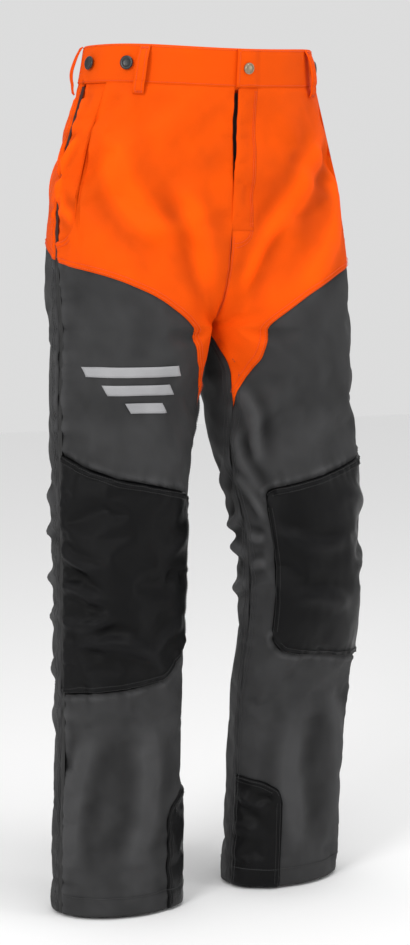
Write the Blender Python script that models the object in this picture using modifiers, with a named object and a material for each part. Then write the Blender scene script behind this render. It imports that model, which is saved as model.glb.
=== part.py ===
"""Chainsaw protective trousers as separate sewn panels, pads and hardware.

Metres, +Z up.  The origin is the centre of the waist opening, level with the top edge of the
waistband.  The front faces -Y and the wearer's right leg is at -X.  Every cloth piece is a patch of
one shared body surface, so neighbouring pieces meet along common lines and layers stay apart.

A place on that surface is written (u, z).  u runs round the garment: 0 is the front centre, +0.5 the
left side seam, -0.5 the right side seam and +-1 the back centre.  Below the crotch u = 0 and
u = +-1 both mean the inseam of the leg on that side.
"""

import math

import bpy
import numpy as np
from mathutils import Matrix, Vector

NAME = "protective_trousers"

# Heights
HEM_Z = -1.090
CROTCH_Z = -0.345
RISE_SPLIT_Z = -0.235  # the crotch seam starts to curl under the body here
BAND_HEIGHT = 0.047
FRONT_DIP = 0.006  # how far the waistband sinks at the front centre
KNEE_Z = -0.640
KNEE_AXES = {"right": (-0.118, -0.014), "left": (0.128, -0.040)}
KNEE_TOP_Z = -0.500
KNEE_BOTTOM_Z = -0.780

# Cloth layers, counted outward from the body surface
SEAM_GAP = 0.0008
CLOTH = 0.0009
BAND_CLOTH = 0.0026
BAND_PROUD = 0.0010
PATCH_PROUD = 0.0028
FACING_DEPTH = 0.0019
POCKET_DEPTH = 0.0062
PAD_DEPTH = 0.0060
PAD_CLOTH = 0.0035
LINING_DEPTH = 0.0126

# Fly
FOLD_U = 0.051  # the flap folds along this line of u
FOLD_CLEARANCE_U = 0.005
FLAP_BOTTOM_Z = -0.228
FLAP_BULGE = 0.0030
ZIP_TOP_Z = -0.060
ZIP_BOTTOM_Z = -0.218
ZIP_X = 0.010
ZIP_DEPTH = 0.0068
COIL_WIDTH = 0.0018
COIL_THICKNESS = 0.0016
COIL_CLEARANCE = 0.0017
TAPE_WIDTH = 0.012
SLIDER_LENGTH = 0.011
SLIDER_PLATE = 0.0010
PULL_LENGTH = 0.024

# Waist hardware
LOOP_HALF_WIDTH = 0.0055
LOOP_STANDOFF = 0.0095
LOOP_DROP = 0.013
LOOP_PLACES = {
    "front_right": -0.262,
    "front_left": 0.262,
    "side_right": -0.570,
    "side_left": 0.570,
    "back_right": -0.790,
    "back_left": 0.790,
    "back_centre": 1.000,
}
BUTTON_PLACES = {
    "front_inner_right": -0.310,
    "front_inner_left": 0.310,
    "front_outer_right": -0.457,
    "front_outer_left": 0.457,
    "back_right": -0.900,
    "back_left": 0.900,
}
BUTTON_RADIUS = 0.0085
BUTTON_HEIGHT_ON_BAND = -0.023
SNAP_RADIUS = 0.0070
SNAP_X = 0.009

FRONT_COLUMNS = (0.0, 0.03, 0.054, 0.058, 0.09, 0.13, 0.18, 0.23, 0.28, 0.33, 0.38, 0.42, 0.46,
                 0.5)
BACK_COLUMNS = (0.5, 0.55, 0.60, 0.65, 0.70, 0.75, 0.80, 0.85, 0.90, 0.95, 1.0)
EDGE = 0.0012  # the share of u that a panel stops short of a seam

# Sections of the body surface: (height, size) pairs, read as smooth curves
# How far each leg seam lies forward of the leg's inner or outer side, in degrees, by height
INSEAM_SWING = ((-0.345, 0.0), (-0.372, 14.0), (-0.405, 24.0), (-0.45, 22.0), (-0.50, 9.0),
                (-0.55, 0.0))
OUTSEAM_SWING = ((-0.345, 6.0), (-0.50, 10.0), (-0.65, 13.0), (-1.09, 14.0))
PELVIS_HALF_WIDTH = ((0.0, 0.150), (-0.045, 0.158), (-0.12, 0.181), (-0.20, 0.196), (-0.30, 0.203),
                     (-0.50, 0.200))
PELVIS_FRONT = ((0.0, 0.1195), (-0.30, 0.0955), (-0.36, 0.099))
PELVIS_BACK = ((0.0, 0.092), (-0.05, 0.100), (-0.15, 0.131), (-0.25, 0.145), (-0.345, 0.130))
LEGS = {
    "right": {
        "centre_x": ((-0.345, 0.1014), (-0.45, 0.112), (-0.65, 0.118), (-1.09, 0.117)),
        "centre_y": ((-0.345, -0.018), (-0.65, -0.014), (-1.09, 0.0)),
        "half_width": ((-0.345, 0.101), (-0.45, 0.095), (-0.65, 0.087), (-0.85, 0.084),
                       (-1.09, 0.087)),
        "half_depth": ((-0.345, 0.105), (-0.45, 0.090), (-0.65, 0.072), (-0.85, 0.064),
                       (-1.09, 0.066)),
        "turn_out": ((-0.345, 0.0), (-0.65, 3.0), (-1.09, 4.0)),
    },
    "left": {
        "centre_x": ((-0.345, 0.1014), (-0.45, 0.109), (-0.65, 0.128), (-0.85, 0.136),
                     (-1.09, 0.139)),
        "centre_y": ((-0.345, -0.018), (-0.45, -0.018), (-0.60, -0.040), (-0.67, -0.040),
                     (-0.85, 0.002), (-1.09, 0.030)),
        "half_width": ((-0.345, 0.101), (-0.45, 0.100), (-0.55, 0.094), (-0.65, 0.086),
                       (-0.85, 0.087), (-1.09, 0.090)),
        "half_depth": ((-0.345, 0.105), (-0.45, 0.090), (-0.65, 0.070), (-0.85, 0.064),
                       (-1.09, 0.066)),
        "turn_out": ((-0.345, 0.0), (-0.65, 12.0), (-1.09, 15.0)),
    },
}

# Panel outlines: (share of u, height) pairs
ORANGE_HEM_FRONT = ((0.0, -0.450), (0.02, -0.425), (0.05, -0.402), (0.09, -0.386), (0.13, -0.363),
                    (0.155, -0.343), (0.19, -0.327), (0.25, -0.304), (0.35, -0.281),
                    (0.50, -0.264))
ORANGE_HEM_BACK = ((0.5, -0.264), (0.62, -0.244), (0.80, -0.240), (1.0, -0.250))
POCKET_SLASH = ((0.42, -0.048), (0.44, -0.110), (0.46, -0.185), (0.5, -0.236))
PATCH_SPAN = (0.09, 0.5)
PATCH_TOP = ((0.09, -0.556), (0.16, -0.549), (0.50, -0.500))
PATCH_BOTTOM = ((0.09, -0.752), (0.20, -0.785), (0.50, -0.806))
ANKLE_COLUMNS = (0.0, 0.03, 0.06, 0.09, 0.13, 0.16)
ANKLE_TOP = ((0.0, -0.940), (0.09, -0.946), (0.13, -0.952), (0.16, -0.962))

COLOURS = {
    "orange": ((1.0, 0.12, 0.0), 0.75, 0.0),
    "grey": ((0.055, 0.055, 0.058), 0.85, 0.0),
    "black": ((0.012, 0.012, 0.013), 0.70, 0.0),
    "pad": ((0.75, 0.74, 0.68), 0.95, 0.0),
    "lining": ((0.10, 0.10, 0.11), 0.90, 0.0),
    "tape": ((0.012, 0.012, 0.013), 0.85, 0.0),
    "plastic": ((0.010, 0.010, 0.010), 0.40, 0.0),
    "metal": ((0.42, 0.36, 0.28), 0.35, 1.0),
}


def clear_scene():
    for obj in list(bpy.data.objects):
        bpy.data.objects.remove(obj)


def new_collection(name):
    made = bpy.data.collections.new(name)
    bpy.context.scene.collection.children.link(made)
    return made


def material(name):
    """The Principled material of this name, made the first time it is asked for."""
    if name in bpy.data.materials:
        return bpy.data.materials[name]
    colour, roughness, metallic = COLOURS[name]
    made = bpy.data.materials.new(name)
    made.use_nodes = True
    shader = made.node_tree.nodes["Principled BSDF"]
    shader.inputs["Base Color"].default_value = (*colour, 1.0)
    shader.inputs["Roughness"].default_value = roughness
    shader.inputs["Metallic"].default_value = metallic
    return made


def smooth_curve(stations, at):
    """A monotone cubic through (position, value) pairs, constant past its ends."""
    stations = sorted(stations)
    place = np.array([p for p, _ in stations])
    value = np.array([v for _, v in stations])
    step = np.diff(place)
    slope = np.diff(value) / step
    tangent = np.zeros_like(value)
    tangent[0] = slope[0]
    tangent[-1] = slope[-1]
    product = slope[:-1] * slope[1:]
    total = np.where(product > 0, slope[:-1] + slope[1:], 1.0)
    tangent[1:-1] = np.where(product > 0, 2 * product / total, 0.0)
    at = np.clip(at, place[0], place[-1])
    i = np.clip(np.searchsorted(place, at) - 1, 0, len(step) - 1)
    t = (at - place[i]) / step[i]
    return (
        (2 * t**3 - 3 * t**2 + 1) * value[i]
        + (t**3 - 2 * t**2 + t) * step[i] * tangent[i]
        + (3 * t**2 - 2 * t**3) * value[i + 1]
        + (t**3 - t**2) * step[i] * tangent[i + 1]
    )


def smoothstep(t):
    t = np.clip(t, 0.0, 1.0)
    return t * t * (3 - 2 * t)


def half_surface(side, share, z):
    """Points of one half of the body surface, with share 0 to 1 from the front round to the back."""
    leg = LEGS[side]
    width = smooth_curve(PELVIS_HALF_WIDTH, z)
    depth = np.where(share < 0.5, smooth_curve(PELVIS_FRONT, z), smooth_curve(PELVIS_BACK, z))
    pelvis_x = width * np.sin(math.pi * share)
    pelvis_y = -depth * np.cos(math.pi * share)

    low = np.minimum(z, CROTCH_Z)
    size = {key: smooth_curve(stations, low) for key, stations in leg.items()}
    inner = (1 + np.cos(2 * math.pi * share)) / 2
    swing = smooth_curve(INSEAM_SWING, low) * inner - smooth_curve(OUTSEAM_SWING, low) * (1 - inner)
    swing = np.radians(swing)
    across = -size["half_width"] * np.cos(2 * math.pi * share + swing)
    along = -size["half_depth"] * np.sin(2 * math.pi * share + swing)
    turn = np.radians(size["turn_out"])
    leg_x = size["centre_x"] + across * np.cos(turn) - along * np.sin(turn)
    leg_y = size["centre_y"] + across * np.sin(turn) + along * np.cos(turn)

    # The sides turn into a leg gradually, the centre seam only where it curls under the body.
    curl = np.clip((z - CROTCH_Z) / (RISE_SPLIT_Z - CROTCH_Z), 0.0, 1.0)
    centre_blend = 1 - np.sqrt(np.clip(1 - (1 - curl) ** 2, 0.0, 1.0))
    side_blend = smoothstep((-0.14 - z) / 0.28)
    near_centre = np.exp(-((share / 0.10) ** 2)) + np.exp(-(((1 - share) / 0.10) ** 2))
    near_centre = np.clip(near_centre, 0.0, 1.0)
    blend = side_blend * (1 - near_centre) + centre_blend * near_centre

    x = (1 - blend) * pelvis_x + blend * leg_x
    y = (1 - blend) * pelvis_y + blend * leg_y
    return np.stack([-x if side == "right" else x, y, z], axis=-1)


def skin(u, z, proud=0.0):
    """Points of the body surface at (u, z), moved outward by proud."""
    u, z, proud = np.broadcast_arrays(
        np.asarray(u, float), np.asarray(z, float), np.asarray(proud, float)
    )
    u = np.where(u > 1.0, u - 2.0, u)
    share = np.abs(u)
    nudge = 1e-4
    before = np.clip(share - nudge, 0.0, 1.0)
    after = np.clip(share + nudge, 0.0, 1.0)
    points = np.empty(u.shape + (3,))
    for side, here, sign in (("right", u < 0, -1.0), ("left", u >= 0, 1.0)):
        round_it = half_surface(side, after, z) - half_surface(side, before, z)
        down_it = half_surface(side, share, z - nudge) - half_surface(side, share, z + nudge)
        normal = np.cross(down_it, round_it) * sign
        normal /= np.linalg.norm(normal, axis=-1, keepdims=True)
        moved = half_surface(side, share, z) + normal * proud[..., None]
        points[here] = moved[here]
    return points


def skin_frame(u, z, proud=0.0):
    """A matrix placed on the surface: its Z points outward and its Y as near up as it can."""
    here = Vector(skin(u, z, proud))
    out = (Vector(skin(u, z, proud + 0.001)) - here).normalized()
    side = Vector((0, 0, 1)).cross(out).normalized()
    up = out.cross(side)
    frame = Matrix((side, up, out)).transposed().to_4x4()
    return Matrix.Translation(here) @ frame


def outline(stations):
    """A function of u from (share, height) pairs."""
    return lambda u: smooth_curve(stations, np.abs(np.where(u > 1.0, u - 2.0, u)))


def level(z):
    return lambda u: np.full_like(u, z)


def band_top(u):
    share = np.abs(np.where(u > 1.0, u - 2.0, u))
    return -FRONT_DIP * smoothstep(1 - share / 0.42)


def band_bottom(u):
    return band_top(u) - BAND_HEIGHT


def below(edge, gap=SEAM_GAP):
    return lambda u: edge(u) - gap


def add_mesh(name, vertices, faces, colour):
    mesh = bpy.data.meshes.new(name)
    mesh.from_pydata([tuple(v) for v in vertices], [], faces)
    obj = bpy.data.objects.new(name, mesh)
    parts.objects.link(obj)
    mesh.materials.append(material(colour))
    return obj


def finish_object(obj, name, colour):
    """Names an object that an operator made, and moves it to the parts collection."""
    for owner in list(obj.users_collection):
        owner.objects.unlink(obj)
    parts.objects.link(obj)
    obj.name = name
    obj.data.name = name
    obj.data.materials.clear()
    obj.data.materials.append(material(colour))
    return obj


def solidify(obj, thickness):
    shell = obj.modifiers.new("cloth_thickness", "SOLIDIFY")
    shell.thickness = thickness
    shell.offset = -1.0
    return obj


def bevel(obj, width, segments=2):
    rounding = obj.modifiers.new("worn_edges", "BEVEL")
    rounding.width = width
    rounding.segments = segments
    rounding.limit_method = "ANGLE"
    return obj


def sheet(name, columns, top, bottom, rows, colour, proud=0.0, thickness=CLOTH, ring=False):
    """A cloth panel between two edges.  proud is a number, or a function of (u, share down)."""
    u = np.array(columns, float)
    down = np.linspace(0.0, 1.0, rows + 1)
    z = top(u)[:, None] * (1 - down) + bottom(u)[:, None] * down
    u_grid = np.repeat(u[:, None], rows + 1, axis=1)
    lift = proud(u_grid, down[None, :]) if callable(proud) else proud
    points = skin(u_grid, z, lift).reshape(-1, 3)
    count = len(u)
    faces = []
    for i in range(count if ring else count - 1):
        left = i * (rows + 1)
        right = ((i + 1) % count) * (rows + 1)
        for j in range(rows):
            faces.append((left + j, left + j + 1, right + j + 1, right + j))
    return solidify(add_mesh(name, points, faces, colour), thickness)


def span(columns, low=None, high=None, side="left"):
    """The shared columns between low and high, with the ends pulled in by EDGE."""
    low = columns[0] if low is None else low
    high = columns[-1] if high is None else high
    inner = [c for c in columns if low + 0.012 < c < high - 0.012]
    chosen = [low + EDGE, *inner, high - EDGE]
    return [-c for c in reversed(chosen)] if side == "right" else chosen


def turned(name, profile, frame, colour, steps=16):
    """A solid of revolution: profile is (radius, height) from the top of the axis to the bottom."""
    vertices = [(radius, 0.0, height) for radius, height in profile]
    edges = [(i, i + 1) for i in range(len(profile) - 1)]
    mesh = bpy.data.meshes.new(name)
    mesh.from_pydata(vertices, edges, [])
    obj = bpy.data.objects.new(name, mesh)
    parts.objects.link(obj)
    mesh.materials.append(material(colour))
    screw = obj.modifiers.new("turned", "SCREW")
    screw.steps = steps
    screw.render_steps = steps
    screw.use_merge_vertices = True
    screw.merge_threshold = 0.00001
    obj.matrix_world = frame
    return obj


def box(name, size, frame, colour):
    bpy.ops.mesh.primitive_cube_add(size=1.0)
    obj = finish_object(bpy.context.object, name, colour)
    obj.data.transform(Matrix.Diagonal((*size, 1.0)))
    obj.matrix_world = frame
    return obj


def build_waistband():
    gap = 0.0012
    back = [0.5 + gap, *np.linspace(0.55, 1.45, 19), 1.5 - gap]
    right = span(FRONT_COLUMNS, 0.004, 0.5, "right")
    left = span(FRONT_COLUMNS, FOLD_U + FOLD_CLEARANCE_U, 0.5)
    for name, columns in (("right", right), ("left", left), ("back", back)):
        sheet("waistband_" + name, columns, band_top, band_bottom, 2, "orange",
              proud=BAND_PROUD, thickness=BAND_CLOTH)


def build_belt_loops():
    """Loops stand off the band so that a 40 mm belt passes, and their feet are tacked flat."""

    def bow(_, down):
        rise = smoothstep(down / 0.22) * smoothstep((1 - down) / 0.22)
        return BAND_PROUD + 0.0016 + LOOP_STANDOFF * rise

    for name, place in LOOP_PLACES.items():
        width = LOOP_HALF_WIDTH / 0.40
        columns = np.linspace(place - width, place + width, 3)
        sheet("belt_loop_" + name, columns, below(band_top, 0.001),
              below(band_bottom, LOOP_DROP), 14, "orange", proud=bow, thickness=0.0012)


def button_frame(u, proud):
    z = float(band_top(np.array(u))) + BUTTON_HEIGHT_ON_BAND
    return skin_frame(u, z, proud)


def build_buttons():
    """Shank buttons for braces: a dished head on a short post that stands on the band."""
    radius = BUTTON_RADIUS
    profile = (
        (0.0, 0.0052),
        (radius * 0.62, 0.0052),
        (radius * 0.90, 0.0050),
        (radius, 0.0040),
        (radius * 0.94, 0.0030),
        (radius * 0.38, 0.0026),
        (radius * 0.34, 0.0),
        (0.0, 0.0),
    )
    for name, place in BUTTON_PLACES.items():
        turned("brace_button_" + name, profile, button_frame(place, BAND_PROUD + 0.0007),
               "plastic", steps=18)


def build_front_and_seat():
    for side in ("right", "left"):
        sheet("seat_" + side, span(BACK_COLUMNS, side=side), below(band_bottom),
              outline(ORANGE_HEM_BACK), 5, "orange")
        sheet("pocket_facing_" + side, span(FRONT_COLUMNS, 0.360, 0.5, side),
              below(band_bottom), below(outline(POCKET_SLASH), 0.020), 4, "orange",
              proud=-FACING_DEPTH)
        sheet("pocket_bag_" + side, span(FRONT_COLUMNS, 0.23, 0.48, side), level(-0.064),
              level(-0.242), 4, "lining", proud=-POCKET_DEPTH)


def front_top(u):
    """The upper edge of a front: the waistband seam, then the slanted pocket mouth."""
    slash = smooth_curve(POCKET_SLASH, np.abs(u))
    return np.where(np.abs(u) > POCKET_SLASH[0][0], np.minimum(slash, below(band_bottom)(u)),
                    below(band_bottom)(u))


def left_front_top(u):
    """The left front starts under the fly flap, and runs up beside it from the fold."""
    beside = u > FOLD_U + FOLD_CLEARANCE_U
    return np.where(beside, front_top(u), FLAP_BOTTOM_Z - 0.003)


def build_fronts():
    for side, top in (("right", front_top), ("left", left_front_top)):
        sheet("front_" + side, span(FRONT_COLUMNS, side=side), top, outline(ORANGE_HEM_FRONT), 14,
              "orange")


def build_fly():
    """The flap hides a coil zip; a guard of cloth lies behind the zip."""
    flap_columns = (-0.004, 0.006, 0.018, 0.032, FOLD_U - FOLD_CLEARANCE_U)

    def bulge(u, down):
        free = smoothstep((FOLD_U - u) / FOLD_U)
        return CLOTH + 0.0006 + FLAP_BULGE * free * np.sin(math.pi * smoothstep(down * 0.9 + 0.1))

    sheet("fly_flap", flap_columns, below(band_bottom, 0.001), level(FLAP_BOTTOM_Z), 6, "orange",
          proud=bulge, thickness=0.0012)
    sheet("waistband_tab", (-0.012, 0.006, 0.024, FOLD_U - FOLD_CLEARANCE_U), band_top,
          band_bottom, 2, "orange", proud=BAND_PROUD + 0.0032, thickness=BAND_CLOTH)
    sheet("waistband_underlap", (-0.0015, 0.012, 0.030, 0.048), below(band_top, 0.003),
          below(band_bottom, -0.003), 2, "orange", proud=-0.0042, thickness=BAND_CLOTH)
    sheet("fly_guard", (-0.055, -0.030, 0.0, 0.030, 0.055), below(band_bottom, 0.004),
          level(FLAP_BOTTOM_Z), 4, "orange", proud=-0.0125, thickness=0.0012)


def zip_frame():
    """The zip's own axes: Y runs up the zip, Z out of the garment; its origin is the zip's middle."""
    top = Vector(skin(0.0, ZIP_TOP_Z, -ZIP_DEPTH))
    bottom = Vector(skin(0.0, ZIP_BOTTOM_Z, -ZIP_DEPTH))
    up = (top - bottom).normalized()
    side = Vector((1, 0, 0))
    out = side.cross(up).normalized()
    middle = (top + bottom) / 2 + side * ZIP_X
    axes = Matrix((side, up, out)).transposed().to_4x4()
    return Matrix.Translation(middle) @ axes, (top - bottom).length


def build_zip():
    frame, length = zip_frame()
    for side, sign in (("right", -1), ("left", 1)):
        coil_x = sign * (COIL_CLEARANCE + COIL_WIDTH) / 2
        coil = box("zip_coil_" + side, (COIL_WIDTH, length, COIL_THICKNESS),
                   frame @ Matrix.Translation((coil_x, 0, 0)), "plastic")
        bevel(coil, 0.0004)
        tape_x = sign * (COIL_CLEARANCE / 2 + COIL_WIDTH + 0.0004 + TAPE_WIDTH / 2)
        box("zip_tape_" + side, (TAPE_WIDTH, length, 0.0007),
            frame @ Matrix.Translation((tape_x, 0, 0)), "tape")
    build_slider(frame, length)


def build_slider(frame, length):
    """Two plates joined by a post that runs between the coils, with a bridge for the pull."""
    web = COIL_CLEARANCE / 2 - 0.0004
    wide = COIL_CLEARANCE / 2 + COIL_WIDTH + 0.0008
    inner = COIL_THICKNESS / 2 + 0.0003
    outer = inner + SLIDER_PLATE
    corners = [(-wide, -outer), (wide, -outer), (wide, -inner), (web, -inner), (web, inner),
               (wide, inner), (wide, outer), (-wide, outer), (-wide, inner), (-web, inner),
               (-web, -inner), (-wide, -inner)]
    half = SLIDER_LENGTH / 2
    vertices = [(x, -half, z) for x, z in corners] + [(x, half, z) for x, z in corners]
    count = len(corners)
    faces = [tuple(range(count)), tuple(reversed(range(count, 2 * count)))]
    faces += [(i, i + count, (i + 1) % count + count, (i + 1) % count) for i in range(count)]
    slider = add_mesh("zip_slider", vertices, faces, "metal")
    top = Matrix.Translation((0, length / 2 - half - 0.002, 0))
    slider.matrix_world = frame @ top
    pull = box("zip_pull", (0.0050, PULL_LENGTH, 0.0010),
               frame @ top @ Matrix.Translation((0, -PULL_LENGTH / 2 + 0.003, outer + 0.0009)),
               "metal")
    bevel(pull, 0.0003)


def build_snap():
    cap_radius = SNAP_RADIUS
    z = float(band_top(np.array(0.0))) - BAND_HEIGHT / 2
    u = math.asin(SNAP_X / 0.153) / math.pi
    cap = ((0.0, 0.0022), (cap_radius * 0.45, 0.0021), (cap_radius * 0.80, 0.0016),
           (cap_radius, 0.0008), (cap_radius, 0.0), (0.0, 0.0))
    turned("snap_cap", cap, skin_frame(u, z, BAND_PROUD + 0.0032 + 0.0004), "metal")
    stud = ((0.0, 0.0024), (0.0022, 0.0024), (0.0026, 0.0018), (0.0022, 0.0010), (0.0050, 0.0008),
            (0.0050, 0.0), (0.0, 0.0))
    turned("snap_stud", stud, skin_frame(u, z, -0.0038), "metal")


def build_leg(side):
    """The grey leg panels, cut at the two lines between which the knee bends."""
    front = span(FRONT_COLUMNS, side=side)
    back = span(BACK_COLUMNS, side=side)
    sheet("thigh_front_" + side, front, below(outline(ORANGE_HEM_FRONT)), level(KNEE_TOP_Z), 4,
          "grey")
    sheet("thigh_back_" + side, back, below(outline(ORANGE_HEM_BACK)), level(KNEE_TOP_Z), 6,
          "grey")
    knee_top = level(KNEE_TOP_Z - SEAM_GAP)
    sheet("knee_front_" + side, front, knee_top, level(KNEE_BOTTOM_Z), 6, "grey")
    sheet("knee_back_" + side, back, knee_top, level(KNEE_BOTTOM_Z), 6, "grey")
    shin_top = level(KNEE_BOTTOM_Z - SEAM_GAP)
    sheet("shin_front_" + side, front, shin_top, level(HEM_Z), 5, "grey")
    sheet("shin_back_" + side, back, shin_top, level(HEM_Z), 5, "grey")


def build_patches(side):
    sheet("knee_patch_" + side, span(FRONT_COLUMNS, *PATCH_SPAN, side=side), outline(PATCH_TOP),
          outline(PATCH_BOTTOM), 6, "black", proud=PATCH_PROUD)
    sheet("ankle_patch_" + side, span(ANKLE_COLUMNS, side=side), outline(ANKLE_TOP),
          level(HEM_Z + 0.002), 3, "black", proud=PATCH_PROUD)


def build_inside(side):
    """Cut-stopping pads behind the front of the leg, and the lining that carries them."""
    columns = span(FRONT_COLUMNS, 0.09, 0.5, side=side)
    for name, top, bottom in (
        ("thigh", -0.395, KNEE_TOP_Z - 0.002),
        ("knee", KNEE_TOP_Z - 0.004, KNEE_BOTTOM_Z + 0.002),
        ("shin", KNEE_BOTTOM_Z - 0.004, HEM_Z + 0.055),
    ):
        sheet("pad_" + name + "_" + side, columns, level(top), level(bottom), 4, "pad",
              proud=-PAD_DEPTH, thickness=PAD_CLOTH)
    ring = np.linspace(0.0, 1.0, 15)[:-1]
    if side == "right":
        ring = -ring[::-1]
        ring[-1] = -1e-9
    sheet("leg_lining_" + side, ring, level(CROTCH_Z - 0.012), level(HEM_Z + 0.035), 10, "lining",
          proud=-LINING_DEPTH, thickness=0.0006, ring=True)


def hang_on_axis(name, place, pieces):
    """An empty on a joint's axis that carries the pieces which turn or slide with it."""
    axis = bpy.data.objects.new(name, None)
    axis.location = place
    axis.empty_display_size = 0.05
    parts.objects.link(axis)
    for piece in pieces:
        obj = bpy.data.objects[piece]
        obj.parent = axis
        obj.matrix_parent_inverse = Matrix.Translation(place).inverted()


def build_axes():
    for side, (x, y) in KNEE_AXES.items():
        pieces = [piece + side for piece in ("shin_front_", "shin_back_", "ankle_patch_",
                                             "pad_shin_")]
        hang_on_axis("knee_axis_" + side, Vector((x, y, KNEE_Z)), pieces)
    fold = Vector(skin(FOLD_U, (FLAP_BOTTOM_Z - BAND_HEIGHT) / 2))
    hang_on_axis("fly_fold_axis", fold, ("fly_flap", "waistband_tab", "snap_cap"))
    frame, _ = zip_frame()
    hang_on_axis("zip_axis", frame.translation, ("zip_slider", "zip_pull"))


clear_scene()
parts = new_collection(NAME)
build_waistband()
build_belt_loops()
build_buttons()
build_front_and_seat()
build_fronts()
build_fly()
build_zip()
build_snap()
for leg_side in ("right", "left"):
    build_leg(leg_side)
    build_patches(leg_side)
    build_inside(leg_side)
build_axes()
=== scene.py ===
import math

import bpy
import numpy as np
from mathutils import Matrix, Vector


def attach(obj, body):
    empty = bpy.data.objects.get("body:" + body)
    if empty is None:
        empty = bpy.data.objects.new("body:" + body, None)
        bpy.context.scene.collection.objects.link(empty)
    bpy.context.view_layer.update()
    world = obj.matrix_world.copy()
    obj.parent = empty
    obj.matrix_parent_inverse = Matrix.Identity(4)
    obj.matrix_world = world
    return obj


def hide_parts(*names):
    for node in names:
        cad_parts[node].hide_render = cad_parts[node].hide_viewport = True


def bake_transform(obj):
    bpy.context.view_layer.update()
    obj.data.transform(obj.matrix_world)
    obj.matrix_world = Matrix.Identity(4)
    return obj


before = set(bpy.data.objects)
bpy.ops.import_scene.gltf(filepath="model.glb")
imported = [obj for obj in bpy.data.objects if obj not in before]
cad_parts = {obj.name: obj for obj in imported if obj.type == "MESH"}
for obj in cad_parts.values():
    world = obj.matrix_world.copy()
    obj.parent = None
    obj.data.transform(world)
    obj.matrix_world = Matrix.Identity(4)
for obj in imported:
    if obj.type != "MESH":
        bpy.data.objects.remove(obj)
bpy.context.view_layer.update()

# ---------------------------------------------------------------- sizes, in metres
HEM_Z = -1.090
CROTCH_Z = -0.345
RISE_SPLIT_Z = -0.235
BAND_HEIGHT = 0.047
FRONT_DIP = 0.006
KNEE_TOP_Z = -0.500
KNEE_BOTTOM_Z = -0.780
FOLD_U = 0.051  # the fly flap folds along this line
FLAP_BOTTOM_Z = -0.228
RING = 0.50  # the length round half of the garment, and round a leg
WAIST_RING = 0.41  # the same length at the waistband
GROOVE = 0.0050  # the share that each panel stops short of the side seam
LOOP_HALF_WIDTH = 0.0064
LOOP_PLACES = {"front": 0.262, "side": 0.570, "back": 0.790}
BUTTON_PLACES = {"front_inner": 0.310, "front_outer": 0.457, "back": 0.900}
BUTTON_DROP = 0.023  # from the band's top to the middle of a brace button
SNAP_X = 0.009
BAND_HALF_WIDTH = 0.153
HEM_STITCHING = 0.024  # how far above the hem its stitching runs
CLOTH = 0.0009
THREAD = 0.00042  # the radius of a stitch
HEAVY_THREAD = 0.00055
STITCH = 0.0032  # the pitch of the stitches
PATCH_INNER = 0.088  # the share where a knee patch starts
ANKLE_OUTER = 0.162  # the share where an ankle patch ends

# How far each leg seam lies forward of the leg's inner or outer side, in degrees, by height
INSEAM_SWING = ((-0.345, 0.0), (-0.372, 14.0), (-0.405, 24.0), (-0.45, 22.0), (-0.50, 9.0),
                (-0.55, 0.0))
OUTSEAM_SWING = ((-0.345, 6.0), (-0.50, 10.0), (-0.65, 13.0), (-1.09, 14.0))
PELVIS_HALF_WIDTH = ((0.0, 0.150), (-0.045, 0.158), (-0.12, 0.181), (-0.20, 0.196), (-0.30, 0.203),
                     (-0.50, 0.200))
PELVIS_FRONT = ((0.0, 0.1195), (-0.30, 0.0955), (-0.36, 0.099))
PELVIS_BACK = ((0.0, 0.092), (-0.05, 0.100), (-0.15, 0.131), (-0.25, 0.145), (-0.345, 0.130))
LEGS = {
    "right": {
        "centre_x": ((-0.345, 0.1014), (-0.45, 0.112), (-0.65, 0.118), (-1.09, 0.117)),
        "centre_y": ((-0.345, -0.018), (-0.65, -0.014), (-1.09, 0.0)),
        "half_width": ((-0.345, 0.101), (-0.45, 0.095), (-0.65, 0.087), (-0.85, 0.084),
                       (-1.09, 0.087)),
        "half_depth": ((-0.345, 0.105), (-0.45, 0.090), (-0.65, 0.072), (-0.85, 0.064),
                       (-1.09, 0.066)),
        "turn_out": ((-0.345, 0.0), (-0.65, 3.0), (-1.09, 4.0)),
    },
    "left": {
        "centre_x": ((-0.345, 0.1014), (-0.45, 0.109), (-0.65, 0.128), (-0.85, 0.136),
                     (-1.09, 0.139)),
        "centre_y": ((-0.345, -0.018), (-0.45, -0.018), (-0.60, -0.040), (-0.67, -0.040),
                     (-0.85, 0.002), (-1.09, 0.030)),
        "half_width": ((-0.345, 0.101), (-0.45, 0.100), (-0.55, 0.094), (-0.65, 0.086),
                       (-0.85, 0.087), (-1.09, 0.090)),
        "half_depth": ((-0.345, 0.105), (-0.45, 0.090), (-0.65, 0.070), (-0.85, 0.064),
                       (-1.09, 0.066)),
        "turn_out": ((-0.345, 0.0), (-0.65, 12.0), (-1.09, 15.0)),
    },
}
SIDES = ("right", "left")

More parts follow.
